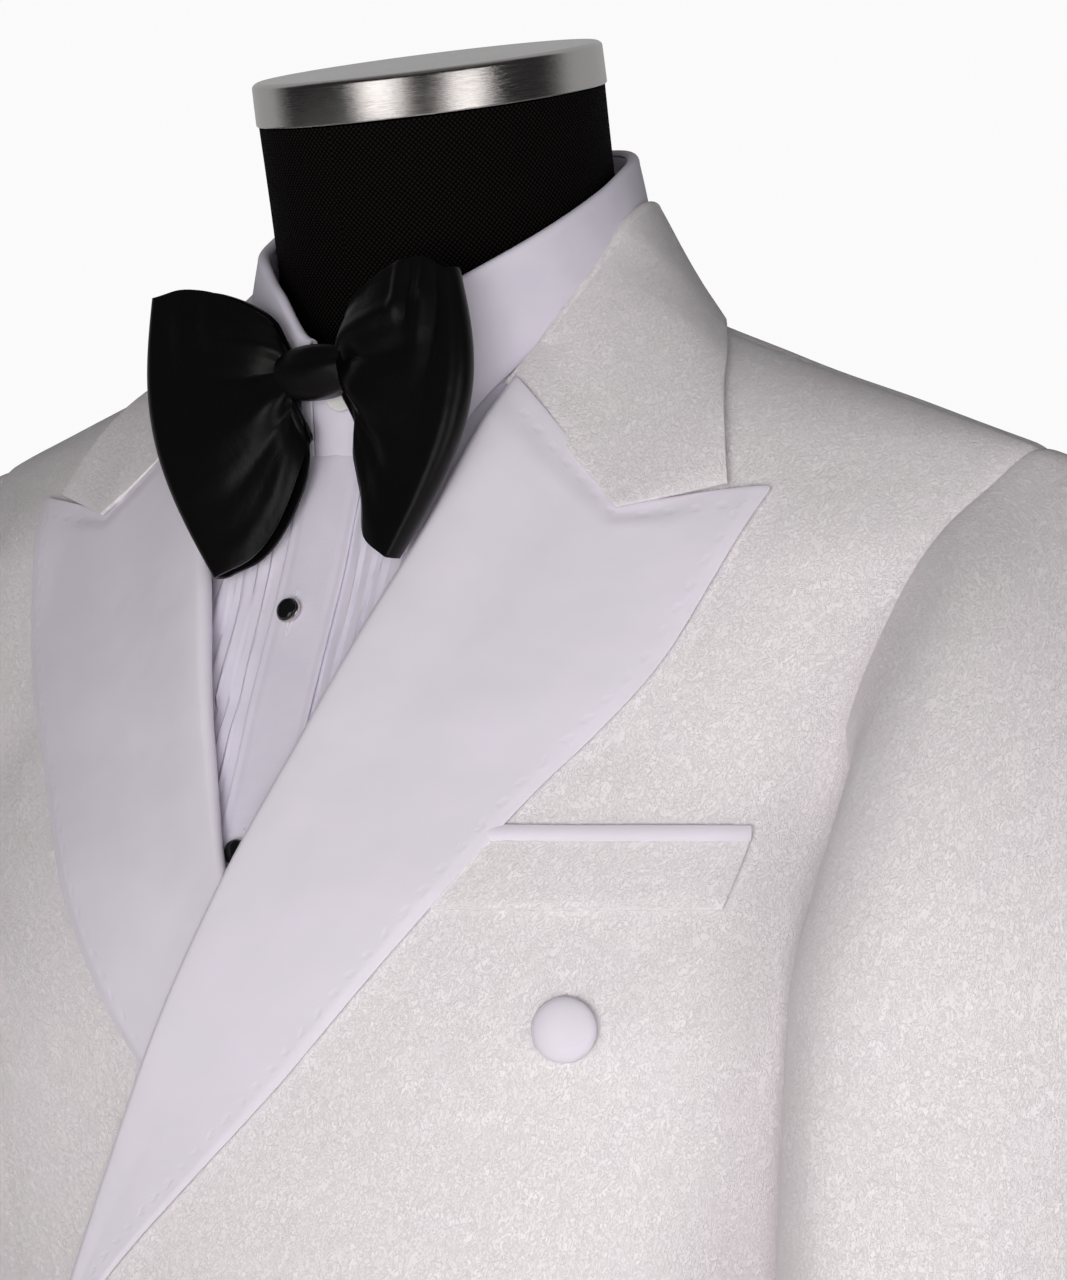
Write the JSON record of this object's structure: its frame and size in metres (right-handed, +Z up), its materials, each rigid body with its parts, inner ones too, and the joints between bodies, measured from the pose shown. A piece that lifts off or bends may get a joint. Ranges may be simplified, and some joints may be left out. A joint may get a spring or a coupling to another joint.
{
  "type": "tuxedo on a dress form",
  "caption": "White double-breasted tuxedo with satin peak lapels, pleated shirt and drooping black bow tie, with trousers, on a black limbless dress form with a steel cap.",
  "frame": {"origin": "centre of the stand's round base on the floor, which is the middle of the bounding box's bottom face", "axes": "+Z up along the stand; the garment's front faces -Y; +X is the wearer's left"},
  "size_m": [0.5824, 0.42, 1.6032],
  "materials": {
    "jacquard": "off-white crinkle jacquard, matt ground with a faint raised crackle",
    "satin": "cool white silk satin, soft sheen",
    "shirting": "white cotton poplin, matt",
    "black_satin": "black satin, soft broad highlight",
    "black_cloth": "coarse black canvas drawn over the form, matt",
    "steel": "brushed along the rim",
    "jet": "polished black",
    "pearl": "pearly white"
  },
  "bodies": {
    "root": {"back_left": "jacquard", "back_right": "jacquard", "band_button": "pearl", "bow_knot": "black_satin", "bow_strap": "black_satin", "bow_wing_left": "black_satin", "bow_wing_right": "black_satin", "breast_piping": "satin", "breast_welt": "jacquard", "button_1": "satin", "button_2": "satin", "button_3": "satin", "button_4": "satin", "button_5": "satin", "button_6": "satin", "collar": "jacquard", "form_base": "steel", "form_body": "black_cloth", "form_cap": "steel", "form_pole": "steel", "form_socket": "steel", "front_left": "jacquard", "front_right": "jacquard", "lapel_left": "satin", "lapel_right": "satin", "shirt_back": "shirting", "shirt_band": "shirting", "shirt_collar": "shirting", "shirt_cuff_left": "shirting", "shirt_cuff_right": "shirting", "shirt_front_left": "shirting", "shirt_front_right": "shirting", "shirt_placket": "shirting", "shirt_sleeve_left": "shirting", "shirt_sleeve_right": "shirting", "side_left": "jacquard", "side_right": "jacquard", "stud_1": "jet", "stud_2": "jet", "top_sleeve_left": "jacquard", "top_sleeve_right": "jacquard", "trouser_back_left": "jacquard", "trouser_back_right": "jacquard", "trouser_front_left": "jacquard", "trouser_front_right": "jacquard", "under_sleeve_left": "jacquard", "under_sleeve_right": "jacquard", "waistband": "satin"}
  },
  "joints": []
}
